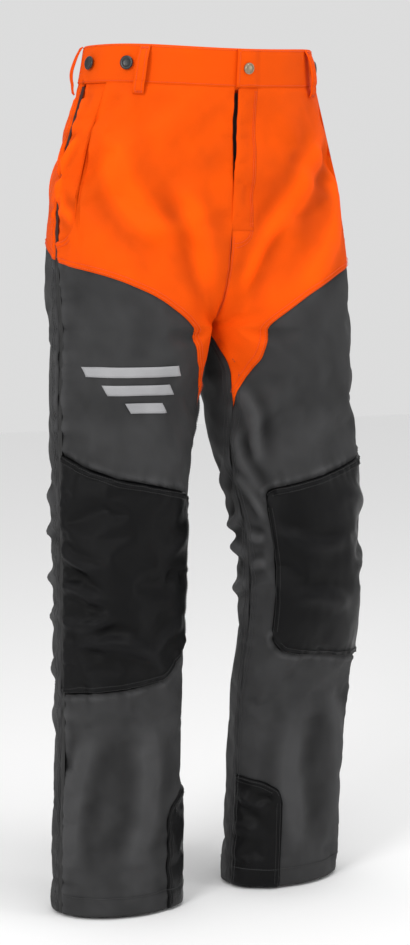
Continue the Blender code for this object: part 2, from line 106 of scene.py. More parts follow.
# Seam lines, as (share of the way from front to back, height)
ORANGE_HEM_FRONT = ((0.0, -0.450), (0.02, -0.425), (0.05, -0.402), (0.09, -0.386), (0.13, -0.363),
                    (0.155, -0.343), (0.19, -0.327), (0.25, -0.304), (0.35, -0.281),
                    (0.50, -0.264))
ORANGE_HEM_BACK = ((0.5, -0.264), (0.62, -0.244), (0.80, -0.240), (1.0, -0.250))
POCKET_SLASH = ((0.375, -0.048), (0.385, -0.150), (0.394, -0.208), (0.42, -0.231),
                (0.46, -0.239), (0.50, -0.242))
PATCH_TOP = {"right": ((PATCH_INNER, -0.585), (0.092, -0.564), (0.105, -0.556), (0.16, -0.549),
                       (0.34, -0.528), (0.50, -0.500)),
             "left": ((PATCH_INNER, -0.580), (0.092, -0.562), (0.105, -0.554), (0.18, -0.545),
                      (0.50, -0.508))}
PATCH_BOTTOM = {"right": ((PATCH_INNER, -0.735), (0.093, -0.752), (0.12, -0.768), (0.20, -0.790),
                          (0.50, -0.806)),
                "left": ((PATCH_INNER, -0.735), (0.094, -0.750), (0.14, -0.768), (0.50, -0.790))}
ANKLE_TOP = ((0.0, -0.938), (0.09, -0.944), (0.13, -0.952), (0.15, -0.958),
             (ANKLE_OUTER, -0.975))


# ---------------------------------------------------------------- the body surface
def smooth_curve(stations, at):
    """A monotone cubic through (position, value) pairs, constant past its ends."""
    stations = sorted(stations)
    place = np.array([p for p, _ in stations])
    value = np.array([v for _, v in stations])
    step = np.diff(place)
    slope = np.diff(value) / step
    tangent = np.zeros_like(value)
    tangent[0] = slope[0]
    tangent[-1] = slope[-1]
    product = slope[:-1] * slope[1:]
    total = np.where(product > 0, slope[:-1] + slope[1:], 1.0)
    tangent[1:-1] = np.where(product > 0, 2 * product / total, 0.0)
    at = np.clip(at, place[0], place[-1])
    i = np.clip(np.searchsorted(place, at) - 1, 0, len(step) - 1)
    t = (at - place[i]) / step[i]
    return (
        (2 * t**3 - 3 * t**2 + 1) * value[i]
        + (t**3 - 2 * t**2 + t) * step[i] * tangent[i]
        + (3 * t**2 - 2 * t**3) * value[i + 1]
        + (t**3 - t**2) * step[i] * tangent[i + 1]
    )


def smoothstep(t):
    t = np.clip(t, 0.0, 1.0)
    return t * t * (3 - 2 * t)


def body_surface(side, share, z):
    """The plain shape of one half of the trousers, share 0 to 1 from the front round to the back."""
    leg = LEGS[side]
    width = smooth_curve(PELVIS_HALF_WIDTH, z)
    depth = np.where(share < 0.5, smooth_curve(PELVIS_FRONT, z), smooth_curve(PELVIS_BACK, z))
    pelvis_x = width * np.sin(math.pi * share)
    pelvis_y = -depth * np.cos(math.pi * share)

    low = np.minimum(z, CROTCH_Z)
    size = {key: smooth_curve(stations, low) for key, stations in leg.items()}
    inner = (1 + np.cos(2 * math.pi * share)) / 2
    swing = smooth_curve(INSEAM_SWING, low) * inner - smooth_curve(OUTSEAM_SWING, low) * (1 - inner)
    swing = np.radians(swing)
    across = -size["half_width"] * np.cos(2 * math.pi * share + swing)
    along = -size["half_depth"] * np.sin(2 * math.pi * share + swing)
    turn = np.radians(size["turn_out"])
    leg_x = size["centre_x"] + across * np.cos(turn) - along * np.sin(turn)
    leg_y = size["centre_y"] + across * np.sin(turn) + along * np.cos(turn)

    curl = np.clip((z - CROTCH_Z) / (RISE_SPLIT_Z - CROTCH_Z), 0.0, 1.0)
    centre_blend = 1 - np.sqrt(np.clip(1 - (1 - curl) ** 2, 0.0, 1.0))
    side_blend = smoothstep((-0.14 - z) / 0.28)
    near_centre = np.exp(-((share / 0.10) ** 2)) + np.exp(-(((1 - share) / 0.10) ** 2))
    near_centre = np.clip(near_centre, 0.0, 1.0)
    blend = side_blend * (1 - near_centre) + centre_blend * near_centre

    x = (1 - blend) * pelvis_x + blend * leg_x
    y = (1 - blend) * pelvis_y + blend * leg_y
    return np.stack([-x if side == "right" else x, y, z], axis=-1)


# ---------------------------------------------------------------- cloth simulation
ROUND = 72  # cells from the front centre to the back centre
DOWN = 182
HANG_FRAMES = 30
FREE_HOLD = 0.2  # how firmly cloth away from the seams keeps its place, where 1 is fully
SLACK = 0.011  # the share by which the cloth is cut too large
GRID_SHARE, GRID_Z = np.meshgrid(np.linspace(0, 1, ROUND + 1), np.linspace(0, HEM_Z, DOWN + 1),
                                 indexing="ij")


def grid_faces(columns, rows, flip):
    index = np.arange(columns * rows).reshape(columns, rows)
    quads = np.stack([index[:-1, :-1], index[:-1, 1:], index[1:, 1:], index[1:, :-1]], -1)
    quads = quads.reshape(-1, 4)
    return quads[:, ::-1] if flip else quads


def sewn_grids():
    """The two halves as one mesh: (points used, where each grid point went, faces)."""
    count = (ROUND + 1) * (DOWN + 1)
    in_rise = GRID_Z.ravel() > CROTCH_Z - 0.001
    key = np.arange(2 * count)
    grid_index = np.arange(count).reshape(ROUND + 1, DOWN + 1)
    for j in range(DOWN + 1):
        front, back = grid_index[0, j], grid_index[-1, j]
        if in_rise[front]:
            key[count + front] = front
            key[count + back] = back
        else:
            key[back] = front
            key[count + back] = count + front
    used, where = np.unique(key, return_inverse=True)
    faces = []
    for half, side in enumerate(SIDES):
        quads = grid_faces(ROUND + 1, DOWN + 1, side == "right") + half * count
        faces += where[quads].tolist()
    return used, where, faces


def simulate(grids):
    """Lets the whole shell hang and buckle as one slightly oversized cloth, held near its shape."""
    count = (ROUND + 1) * (DOWN + 1)
    points = np.concatenate([grids[side].reshape(-1, 3) for side in SIDES])
    used, where, faces = sewn_grids()
    mesh = bpy.data.meshes.new("hang")
    mesh.from_pydata(points[used].tolist(), [], faces)
    cloth = bpy.data.objects.new("hang", mesh)
    bpy.context.scene.collection.objects.link(cloth)

    z = points[used][:, 2]
    share = GRID_SHARE.ravel()[used % count]
    on_seam = (np.abs(share - 0.5) < 1e-6) | (share < 1e-6) | (share > 1 - 1e-6)
    fixed = on_seam | (z > -BAND_HEIGHT - 0.004) | (z < HEM_Z + 0.003)
    hold = np.where(fixed, 1.0, FREE_HOLD)
    group = cloth.vertex_groups.new(name="hold")
    for value in np.unique(hold):
        group.add(np.flatnonzero(hold == value).tolist(), float(value), "REPLACE")
    modifier = cloth.modifiers.new("hang", "CLOTH")
    setting = modifier.settings
    setting.quality = 5
    setting.mass = 0.05
    setting.tension_stiffness = 1000
    setting.compression_stiffness = 1000
    setting.shear_stiffness = 200
    setting.bending_stiffness = 90
    setting.vertex_group_mass = "hold"
    setting.pin_stiffness = 1.0
    setting.shrink_min = -SLACK
    setting.effector_weights.gravity = 0.05
    modifier.collision_settings.use_collision = False
    modifier.point_cache.frame_start = 1
    modifier.point_cache.frame_end = HANG_FRAMES
    for step in range(1, HANG_FRAMES + 1):
        bpy.context.scene.frame_set(step)
    hung = cloth.evaluated_get(bpy.context.evaluated_depsgraph_get())
    result = np.empty(len(used) * 3)
    hung.data.vertices.foreach_get("co", result)
    result = result.reshape(-1, 3)[where]
    bpy.context.scene.frame_set(1)
    bpy.data.objects.remove(cloth)
    shape = (ROUND + 1, DOWN + 1, 3)
    return {"right": result[:count].reshape(shape), "left": result[count:].reshape(shape)}


grids = {side: body_surface(side, GRID_SHARE, GRID_Z) for side in SIDES}
grids = simulate(grids)


def cubic_weights(t):
    return np.stack([-0.5 * t**3 + t**2 - 0.5 * t, 1.5 * t**3 - 2.5 * t**2 + 1,
                     -1.5 * t**3 + 2 * t**2 + 0.5 * t, 0.5 * t**3 - 0.5 * t**2], -1)


def read_grid(side, share, z):
    """A point of the hung cloth, read smoothly from the simulated grid."""
    a = np.clip(share, 0, 1) * ROUND
    b = np.clip(z / HEM_Z, 0, 1) * DOWN
    i = np.clip(a.astype(int), 0, ROUND - 1)
    j = np.clip(b.astype(int), 0, DOWN - 1)
    weight_a = cubic_weights(a - i)
    weight_b = cubic_weights(b - j)
    total = np.zeros(a.shape + (3,))
    grid = grids[side]
    for m in range(4):
        row = np.clip(i + m - 1, 0, ROUND)
        for n in range(4):
            column = np.clip(j + n - 1, 0, DOWN)
            total += (weight_a[..., m] * weight_b[..., n])[..., None] * grid[row, column]
    total[..., 2] += np.maximum(z, 0) + np.minimum(z - HEM_Z, 0)
    return total


def hung_surface(side, share, z):
    """Like body_surface, of the hung cloth; above the crotch a share may run past a centre line."""
    other = "left" if side == "right" else "right"
    past = ((share < 0) | (share > 1)) & (z > CROTCH_Z)
    mirrored = np.where(share < 0, -share, 2 - share)
    return np.where(past[..., None], read_grid(other, mirrored, z), read_grid(side, share, z))


# ---------------------------------------------------------------- creases and seams
def noise_line(t, seed):
    """A smooth random wave along a line, one swing for each unit of t."""
    values = np.random.RandomState(seed).uniform(-1, 1, 512)
    i = np.floor(t).astype(int)
    f = smoothstep(t - i)
    return values[i % 512] * (1 - f) + values[(i + 1) % 512] * f


def noise_sheet(x, y, seed):
    values = np.random.RandomState(seed).uniform(-1, 1, (256, 256))
    i = np.floor(x).astype(int)
    j = np.floor(y).astype(int)
    f = smoothstep(x - i)
    g = smoothstep(y - j)
    low = values[i % 256, j % 256] * (1 - f) + values[(i + 1) % 256, j % 256] * f
    high = values[i % 256, (j + 1) % 256] * (1 - f) + values[(i + 1) % 256, (j + 1) % 256] * f
    return low * (1 - g) + high * g


def edge(stations):
    return lambda share: smooth_curve(stations, share)


def edge_moved(line, rise):
    return lambda share: line(share) + rise


def level(z):
    return lambda share: np.full_like(share, z)


def band_top(share):
    return -FRONT_DIP * smoothstep(1 - share / 0.42)


def band_bottom(share):
    return band_top(share) - BAND_HEIGHT


class Seam:
    """A line on one half of the garment, with how the cloth behaves beside it."""

    def __init__(self, side, shares, heights, groove=0.0008, width=0.0016, pucker=0.0008,
                 reach=0.010, pitch=0.009, lip=0.0, seed=1):
        self.share = shares
        self.z = heights
        self.points = body_surface(side, shares, heights)
        step = np.linalg.norm(np.diff(self.points, axis=0), axis=1)
        self.run = np.concatenate([[0], np.cumsum(step)])
        self.groove, self.width, self.pucker = groove, width, pucker
        self.reach, self.pitch, self.lip, self.seed = reach, pitch, lip, seed

    def nearest(self, points):
        """(distance, distance along the seam) of each point."""
        flat = points.reshape(-1, 3)
        distance = np.empty(len(flat))
        run = np.empty(len(flat))
        low, high = self.points.min(0) - 0.06, self.points.max(0) + 0.06
        near = ((flat > low) & (flat < high)).all(1)
        distance[~near] = 1.0
        run[~near] = 0.0
        chosen = np.flatnonzero(near)
        for start in range(0, len(chosen), 4000):
            part = chosen[start:start + 4000]
            gap = ((flat[part, None, :] - self.points[None]) ** 2).sum(-1)
            k = gap.argmin(1)
            distance[part] = np.sqrt(gap[np.arange(len(part)), k])
            run[part] = self.run[k]
        return distance.reshape(points.shape[:-1]), run.reshape(points.shape[:-1])

    def relief(self, points):
        distance, run = self.nearest(points)
        valley = -self.groove * np.exp(-((distance / self.width) ** 2))
        lip = self.lip * np.exp(-(((distance - 2.4 * self.width) / (1.3 * self.width)) ** 2))
        wave = noise_line(run / self.pitch, self.seed) + 0.5 * noise_line(
            run / (0.45 * self.pitch), self.seed + 7)
        pucker = self.pucker * wave * np.exp(-distance / self.reach)
        pucker *= smoothstep(distance / (0.8 * self.width))
        return valley + lip * (1 + 0.6 * wave) + pucker


def seam_across(side, stations, low, high, **look):
    shares = np.linspace(low, high, max(20, int(700 * (high - low))))
    return Seam(side, shares, smooth_curve(stations, shares), **look)


def seam_down(side, share, top, bottom, **look):
    heights = np.linspace(top, bottom, int(abs(top - bottom) / 0.0012))
    return Seam(side, np.full_like(heights, share), heights, **look)


def side_seams(side):
    """Every sewn line of one half that shapes the cloth around it."""
    seed = iter(range(111 if side == "left" else 11, 200))

    def across(stations, low, high, **look):
        return seam_across(side, stations, low, high, seed=next(seed), **look)

    def down(share, top, bottom, **look):
        return seam_down(side, share, top, bottom, seed=next(seed), **look)

    patch_top, patch_bottom = PATCH_TOP[side], PATCH_BOTTOM[side]
    patch_look = {"groove": 0.0020, "width": 0.0024, "pucker": 0.0014, "lip": 0.0014}
    hem = HEM_Z + HEM_STITCHING
    seams = [
        down(0.5, -BAND_HEIGHT, HEM_Z, groove=0.0032, width=0.0036, pucker=0.0019, reach=0.015,
             pitch=0.011, lip=0.0012),
        down(0.0, CROTCH_Z - 0.004, HEM_Z, groove=0.0012, width=0.0018, pucker=0.0009, pitch=0.011),
        across(ORANGE_HEM_FRONT, 0.0, 0.5, groove=0.0010, pucker=0.0004),
        across(ORANGE_HEM_BACK, 0.5, 1.0, groove=0.0010, pucker=0.0005),
        down(0.0, FLAP_BOTTOM_Z, CROTCH_Z, groove=0.0012, pucker=0.0006),
        down(1.0, -0.048, CROTCH_Z, groove=0.0014, pucker=0.0007, reach=0.014),
        across(patch_top, 0.092, 0.5, pitch=0.007, **patch_look),
        across(patch_bottom, 0.092, 0.5, reach=0.012, pitch=0.009, **patch_look),
    ]
    heights = np.linspace(patch_top[0][1], patch_bottom[0][1], 140)
    seams.append(Seam(side, np.full_like(heights, PATCH_INNER), heights, groove=0.0012,
                      width=0.0020, pucker=0.0006, reach=0.009, pitch=0.008, seed=next(seed)))
    return seams + [
        across(ANKLE_TOP, 0.0, ANKLE_OUTER, groove=0.0010, pucker=0.0006),
        down(ANKLE_OUTER, ANKLE_TOP[-1][1], HEM_Z, groove=0.0010, pucker=0.0006),
        across(((0.0, hem), (1.0, hem)), 0.0, 1.0, groove=0.0006, pucker=0.0009, reach=0.012,
               pitch=0.014),
    ]


SEAMS = {side: side_seams(side) for side in SIDES}
FOLD_STRENGTH = 1.6
# Folds of each half: share and height at one end, the same at the other, half width, fold height
FOLDS = {
    "right": (
        (0.44, -0.115, 0.49, -0.150, 0.007, 0.0030), (0.47, -0.165, 0.50, -0.200, 0.006, 0.0030),
        (0.40, -0.215, 0.47, -0.190, 0.009, 0.0022), (0.30, -0.120, 0.16, -0.240, 0.020, 0.0030),
        (0.12, -0.180, 0.06, -0.300, 0.014, 0.0028), (0.49, -0.620, 0.38, -0.645, 0.007, 0.0030),
        (0.49, -0.665, 0.36, -0.690, 0.008, 0.0032), (0.49, -0.715, 0.34, -0.705, 0.009, 0.0036),
        (0.44, -0.735, 0.22, -0.755, 0.010, 0.0040), (0.12, -0.720, 0.22, -0.742, 0.010, 0.0030),
        (0.10, -0.600, 0.20, -0.625, 0.012, 0.0016), (0.52, -0.590, 0.60, -0.615, 0.007, 0.0030),
        (0.52, -0.650, 0.66, -0.665, 0.008, 0.0034), (0.52, -0.700, 0.62, -0.722, 0.007, 0.0030),
        (0.55, -0.560, 0.66, -0.545, 0.009, 0.0026), (0.40, -0.860, 0.46, -1.020, 0.016, 0.0034),
        (0.24, -0.850, 0.27, -1.030, 0.020, 0.0026), (0.58, -0.830, 0.66, -0.870, 0.010, 0.0028),
        (0.53, -0.760, 0.58, -0.790, 0.007, 0.0030), (0.60, -0.300, 0.78, -0.380, 0.018, 0.0036),
        (0.92, -0.330, 0.72, -0.420, 0.014, 0.0040), (0.94, -0.360, 0.78, -0.480, 0.012, 0.0034),
        (0.60, -0.150, 0.90, -0.200, 0.022, 0.0026), (0.68, -0.640, 0.92, -0.655, 0.009, 0.0036),
        (0.66, -0.690, 0.90, -0.680, 0.009, 0.0032), (0.70, -0.600, 0.90, -0.585, 0.010, 0.0030),
    ),
    "left": (
        (0.30, -0.110, 0.14, -0.230, 0.018, 0.0034), (0.38, -0.150, 0.22, -0.300, 0.018, 0.0026),
        (0.14, -0.200, 0.05, -0.300, 0.012, 0.0030), (0.02, -0.430, 0.08, -0.520, 0.009, 0.0034),
        (0.02, -0.480, 0.08, -0.560, 0.008, 0.0034), (0.01, -0.535, 0.07, -0.590, 0.007, 0.0030),
        (0.98, -0.520, 0.90, -0.600, 0.010, 0.0040), (0.99, -0.590, 0.86, -0.610, 0.008, 0.0042),
        (0.99, -0.640, 0.88, -0.635, 0.008, 0.0040), (0.99, -0.675, 0.86, -0.690, 0.008, 0.0034),
        (0.01, -0.615, 0.06, -0.618, 0.006, 0.0030), (0.01, -0.655, 0.06, -0.650, 0.006, 0.0030),
        (0.12, -0.610, 0.30, -0.625, 0.011, 0.0028), (0.14, -0.690, 0.32, -0.705, 0.012, 0.0030),
        (0.36, -0.660, 0.48, -0.640, 0.010, 0.0030), (0.30, -0.560, 0.46, -0.590, 0.012, 0.0024),
        (0.20, -0.860, 0.22, -1.030, 0.018, 0.0028), (0.34, -0.840, 0.36, -1.000, 0.018, 0.0024),
        (0.02, -0.960, 0.12, -0.985, 0.008, 0.0024), (0.01, -1.010, 0.12, -1.020, 0.008, 0.0020),
        (0.60, -0.600, 0.84, -0.610, 0.010, 0.0040), (0.58, -0.640, 0.84, -0.645, 0.009, 0.0042),
        (0.60, -0.690, 0.84, -0.682, 0.010, 0.0038), (0.64, -0.560, 0.84, -0.545, 0.012, 0.0034),
        (0.92, -0.330, 0.72, -0.420, 0.014, 0.0040), (0.60, -0.150, 0.90, -0.210, 0.022, 0.0026),
        (0.94, -0.370, 0.80, -0.480, 0.012, 0.0034), (0.60, -0.300, 0.76, -0.390, 0.018, 0.0030),
    ),
}


def fold_relief(side, share, z):
    """The soft ridges of the folds with a trough on each side; each fades out at its ends."""
    total = np.zeros(share.shape)
    x = share * RING
    for number, (s0, z0, s1, z1, width, height) in enumerate(FOLDS[side]):
        run, rise = (s1 - s0) * RING, z1 - z0
        length = math.hypot(run, rise)
        along = ((x - s0 * RING) * run + (z - z0) * rise) / length**2
        across = ((z - z0) * run - (x - s0 * RING) * rise) / length
        across += (-1) ** number * 0.07 * length * np.sin(math.pi * np.clip(along, 0, 1))
        reach = smoothstep((along + 0.15) / 0.4) * smoothstep((1.15 - along) / 0.4)
        d = across / width
        shape = np.exp(-d * d) - 0.45 * np.exp(-((d - 1.7) ** 2)) - 0.3 * np.exp(-((d + 1.7) ** 2))
        total += FOLD_STRENGTH * height * reach * shape
    return total


def relief(side, share, z):
    """How far the cloth stands off its hung surface: folds, seams and small crumples."""
    points = body_surface(side, share, z)
    total = fold_relief(side, share, z)
    for seam in SEAMS[side]:
        total = total + seam.relief(points)
    ring = share * RING
    seed = 40 if side == "right" else 60
    crumple = 0.0007 * noise_sheet(ring / 0.024 + 9, -z / 0.034, seed)
    crumple += 0.00035 * noise_sheet(ring / 0.010 + 5, -z / 0.013, seed + 1)
    return total + crumple * smoothstep((-0.05 - z) / 0.02)


def skin(side, share, z, proud=0.0, plain=False):
    """(points, relief) of the finished cloth surface, moved outward by proud."""
    share, z, proud = np.broadcast_arrays(np.asarray(share, float), np.asarray(z, float),
                                          np.asarray(proud, float))
    e = 0.004
    around = hung_surface(side, share + e, z) - hung_surface(side, share - e, z)
    down = hung_surface(side, share, z - e / 2) - hung_surface(side, share, z + e / 2)
    normal = np.cross(down, around) * (-1 if side == "right" else 1)
    normal /= np.linalg.norm(normal, axis=-1, keepdims=True)
    height = np.zeros(share.shape) if plain else relief(side, share, z)
    return hung_surface(side, share, z) + normal * (height + proud)[..., None], height


# ---------------------------------------------------------------- materials
class Shader:
    """A material's node tree, with the few steps that the finishes below are made of."""

    def __init__(self, name):
        self.material = bpy.data.materials.new(name)
        self.material.use_nodes = True
        self.nodes = self.material.node_tree.nodes
        self.links = self.material.node_tree.links
        self.base = self.nodes["Principled BSDF"]

    def connect(self, value, socket):
        if isinstance(value, (int, float, tuple)):
            socket.default_value = value
        else:
            self.links.new(value, socket)

    def math(self, operation, first, second=0.0):
        node = self.nodes.new("ShaderNodeMath")
        node.operation = operation
        self.connect(first, node.inputs[0])
        self.connect(second, node.inputs[1])
        return node.outputs[0]

    def attribute(self, name, output):
        node = self.nodes.new("ShaderNodeAttribute")
        node.attribute_name = name
        return node.outputs[output]

    def noise(self, place, scale, detail):
        node = self.nodes.new("ShaderNodeTexNoise")
        node.inputs["Scale"].default_value = scale
        node.inputs["Detail"].default_value = detail
        self.links.new(place, node.inputs["Vector"])
        return node.outputs["Fac"]

    def between(self, value, old_low, old_high, low, high):
        node = self.nodes.new("ShaderNodeMapRange")
        for name, number in (("From Min", old_low), ("From Max", old_high), ("To Min", low),
                             ("To Max", high)):
            node.inputs[name].default_value = number
        self.links.new(value, node.inputs["Value"])
        return node.outputs[0]

    def paint(self, colour, tone):
        """The base colour: one colour, made lighter and darker by tone."""
        node = self.nodes.new("ShaderNodeVectorMath")
        node.operation = "SCALE"
        node.inputs[0].default_value = colour
        self.links.new(tone, node.inputs["Scale"])
        self.links.new(node.outputs[0], self.base.inputs["Base Color"])

    def bump(self, height, strength, distance):
        node = self.nodes.new("ShaderNodeBump")
        node.inputs["Strength"].default_value = strength
        node.inputs["Distance"].default_value = distance
        self.links.new(height, node.inputs["Height"])
        self.links.new(node.outputs[0], self.base.inputs["Normal"])


def cloth_material(name, colour, roughness, sheen, weave, bump, variation, shade=(0.62, 1.10),
                   specular=0.25):
    """Woven cloth: threads at the weave's pitch, fibre noise, painted shade darkening the creases and
    painted light brightening the ridges.
    """
    shader = Shader(name)
    shader.base.inputs["Sheen Weight"].default_value = sheen
    shader.base.inputs["Sheen Roughness"].default_value = 0.45
    shader.base.inputs["Specular IOR Level"].default_value = specular
    place = shader.attribute("cloth", "Vector")
    axes = shader.nodes.new("ShaderNodeSeparateXYZ")
    shader.links.new(place, axes.inputs[0])
    turns = 2 * math.pi / weave
    warp = shader.math("SINE", shader.math("MULTIPLY", axes.outputs["X"], turns))
    weft = shader.math("SINE", shader.math("MULTIPLY", axes.outputs["Y"], turns))
    basket = shader.math("MULTIPLY", warp, weft)
    fibre = shader.noise(place, 900.0, 2.0)
    cloudy = shader.noise(place, 22.0, 3.0)

    tone = shader.between(cloudy, 0.3, 0.7, 1 - variation, 1 + variation)
    # painted shade and light: the relief height darkens the colour in creases and lightens it on
    # ridges, over the shade range
    painted_fold_shading = shader.between(shader.attribute("crease", "Fac"), -0.0030, 0.0025, *shade)
    thread_tone = shader.between(basket, -1.0, 1.0, 0.93, 1.03)
    fibre_tone = shader.between(fibre, 0.2, 0.8, 0.93, 1.07)
    tone = shader.math("MULTIPLY", tone, painted_fold_shading)
    tone = shader.math("MULTIPLY", tone, shader.math("MULTIPLY", thread_tone, fibre_tone))
    shader.paint(colour, tone)
    rough = shader.between(cloudy, 0.3, 0.7, roughness - 0.05, roughness + 0.05)
    shader.connect(rough, shader.base.inputs["Roughness"])
    height = shader.math("ADD", shader.math("MULTIPLY", basket, 0.5), fibre)
    shader.bump(height, bump, 0.0006)
    return shader.material


def hard_material(name, colour, roughness, metallic):
    """Moulded plastic, thread or plated metal, with fine scratches in its gloss and colour."""
    shader = Shader(name)
    shader.base.inputs["Metallic"].default_value = metallic
    place = shader.nodes.new("ShaderNodeTexCoord").outputs["Object"]
    scratched = shader.noise(place, 700.0, 4.0)
    shader.paint(colour, shader.between(scratched, 0.2, 0.8, 0.80, 1.20))
    rough = shader.between(scratched, 0.2, 0.8, roughness - 0.08, roughness + 0.08)
    shader.connect(rough, shader.base.inputs["Roughness"])
    shader.bump(scratched, 0.15, 0.0002)
    return shader.material


# shade: how far painted shade darkens each cloth in its creases and painted light brightens it on its
# ridges
ORANGE = cloth_material("orange_cloth", (0.90, 0.090, 0.0004), 0.75, 0.0, 0.0011, 0.30, 0.03,
                        shade=(0.60, 1.08), specular=0.08)
GREY = cloth_material("grey_cloth", (0.040, 0.040, 0.041), 0.70, 0.02, 0.0011, 0.40, 0.12,
                      shade=(0.25, 1.30), specular=0.16)
BLACK = cloth_material("black_coated_cloth", (0.0022, 0.0022, 0.0025), 0.33, 0.0, 0.0014, 0.40,
                       0.12, shade=(0.3, 1.6), specular=0.12)
ANKLE = cloth_material("ankle_coated_cloth", (0.0022, 0.0022, 0.0025), 0.30, 0.0, 0.0014, 0.35,
                       0.12, shade=(0.3, 1.6), specular=0.14)
LINING = cloth_material("lining_cloth", (0.045, 0.045, 0.050), 0.80, 0.10, 0.0010, 0.30, 0.08)
PAD = cloth_material("pad_cloth", (0.62, 0.60, 0.52), 0.92, 0.30, 0.0024, 0.80, 0.08)
TAPE = hard_material("zip_tape_weave", (0.010, 0.010, 0.011), 0.80, 0.0)
PRINT = cloth_material("pale_print", (0.36, 0.36, 0.37), 0.55, 0.0, 0.0011, 0.30, 0.06)
ORANGE_THREAD = hard_material("orange_thread", (0.70, 0.070, 0.002), 0.60, 0.0)
BLACK_THREAD = hard_material("black_thread", (0.006, 0.006, 0.006), 0.60, 0.0)
# a dark brown strip in the side seam's groove, standing for painted shadow where the groove runs
# through the orange cloth
GROOVE_SHADOW_STRIP = hard_material("painted_groove_shadow", (0.030, 0.004, 0.001), 0.80, 0.0)
GREY_THREAD = hard_material("grey_thread", (0.030, 0.030, 0.031), 0.60, 0.0)
BUTTON = hard_material("button_plastic_finish", (0.010, 0.010, 0.011), 0.36, 0.0)
BRASS = hard_material("antique_brass", (0.30, 0.24, 0.17), 0.42, 1.0)
COIL = hard_material("coil_plastic_finish", (0.012, 0.012, 0.013), 0.45, 0.0)


# ---------------------------------------------------------------- building cloth pieces
def new_object(name, vertices, faces, material):
    mesh = bpy.data.meshes.new(name)
    mesh.from_pydata(np.asarray(vertices).reshape(-1, 3).tolist(), [], [list(f) for f in faces])
    mesh.polygons.foreach_set("use_smooth", [True] * len(mesh.polygons))
    mesh.materials.append(material)
    obj = bpy.data.objects.new(name, mesh)
    bpy.context.scene.collection.objects.link(obj)
    return obj


def set_attribute(mesh, name, kind, values):
    layer = mesh.attributes.new(name, kind, "POINT")
    field = "vector" if kind == "FLOAT_VECTOR" else "value"
    layer.data.foreach_set(field, np.ascontiguousarray(values, np.float32).ravel())


def columns_between(low, high, cell):
    """Shares from low to high, closer together beside the side seam and the centre lines."""
    chosen = [low]
    while chosen[-1] < high:
        to_side = abs(chosen[-1] - 0.5) * RING
        to_centre = min(abs(chosen[-1]), abs(1 - chosen[-1])) * RING
        step = min(cell, 0.0009 + 0.22 * to_side, 0.0014 + 0.25 * to_centre)
        chosen.append(chosen[-1] + step / RING)
    scale = (high - low) / (chosen[-1] - low)
    return low + (np.array(chosen) - low) * scale


def flat_size(side, share, z):
    """(width, length, area) of a panel as it is cut, measured on the plain body surface."""
    plain = body_surface(side, share, z)
    along = np.linalg.norm(np.diff(plain, axis=1), axis=-1)
    across = np.linalg.norm(np.diff(plain[..., :2], axis=0), axis=-1)
    corner = plain[1:, 1:] - plain[:-1, :-1]
    other = plain[:-1, 1:] - plain[1:, :-1]
    area = float(np.linalg.norm(np.cross(corner, other), axis=-1).sum() / 2)
    width = float(across.sum(0).max())
    length = max(float(along.sum(1).max()), area / width)
    return width, length, max(area, 0.31 * width * length)


def panel(name, side, low, high, top, bottom, material, proud=0.0, thickness=CLOTH, cell=0.0036,
          warp=None, cut=None, padded=False):
    """A cloth panel between two lines of the surface, as a closed sheet, without what cut takes."""
    share = columns_between(low, high, cell)
    tall = np.abs(top(share) - bottom(share)).max()
    down = np.linspace(0, 1, max(4, round(tall / cell)) + 1)
    z = top(share)[:, None] * (1 - down) + bottom(share)[:, None] * down
    shares = np.repeat(share[:, None], len(down), axis=1)
    if warp:
        shares = warp(shares, z)
    lift = proud(shares, z) if callable(proud) else proud
    points, height = skin(side, shares, z, lift)
    faces = grid_faces(*share.shape, len(down), side == "right")
    if cut:
        gone = cut(shares, z).ravel()
        faces = [face for face in faces if not gone[face].all()]
    obj = new_object(name, points, faces, material)
    set_attribute(obj.data, "cloth", "FLOAT_VECTOR",
                  np.stack([shares * RING, z, np.zeros_like(z)], -1))
    # the relief height, which the cloth materials read to paint shade into the creases and light onto
    # the ridges
    set_attribute(obj.data, "crease", "FLOAT", height)
    shell = obj.modifiers.new("thickness", "SOLIDIFY")
    shell.thickness = thickness
    shell.offset = -1
    if padded:
        return obj
    width, length, area = flat_size(side, shares, z)
    return obj


def leg_blend(obj):
    """Bakes the piece's transform into its mesh."""
    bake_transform(obj)


def flap_blend(obj):
    """Finds a point on the fly's fold line, which is not used, and bakes the piece's transform into
    its mesh.
    """
    at, _ = skin("left", FOLD_U, -0.14, plain=True)
    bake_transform(obj)


def give(obj, slot, *nodes):
    """Hides the CAD nodes this piece stands for; slot is not used."""
    if nodes:
        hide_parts(*nodes)


def fix(obj, body, slot, *nodes):
    """Puts a piece on a moving body, and hides the CAD nodes it stands for."""
    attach(obj, body)
    give(obj, slot, *nodes)


# ---------------------------------------------------------------- sewing
def capsule(sides=6):
    """One stitch along X, of unit length and unit radius."""
    angle = np.arange(sides) * 2 * math.pi / sides
    ring = np.stack([np.zeros(sides), np.cos(angle), np.sin(angle)], -1)
    points = np.concatenate([[[-0.5, 0, 0]], ring - [0.3, 0, 0], ring + [0.3, 0, 0],
                             [[0.5, 0, 0]]])
    faces = []
    for i in range(sides):
        j = (i + 1) % sides
        faces.append((0, 1 + j, 1 + i))
        faces.append((1 + i, 1 + j, 1 + sides + j, 1 + sides + i))
        faces.append((1 + 2 * sides, 1 + sides + i, 1 + sides + j))
    return points, faces


STITCH_POINTS, STITCH_FACES = capsule()


def unit(vectors):
    return vectors / np.linalg.norm(vectors, axis=-1, keepdims=True)


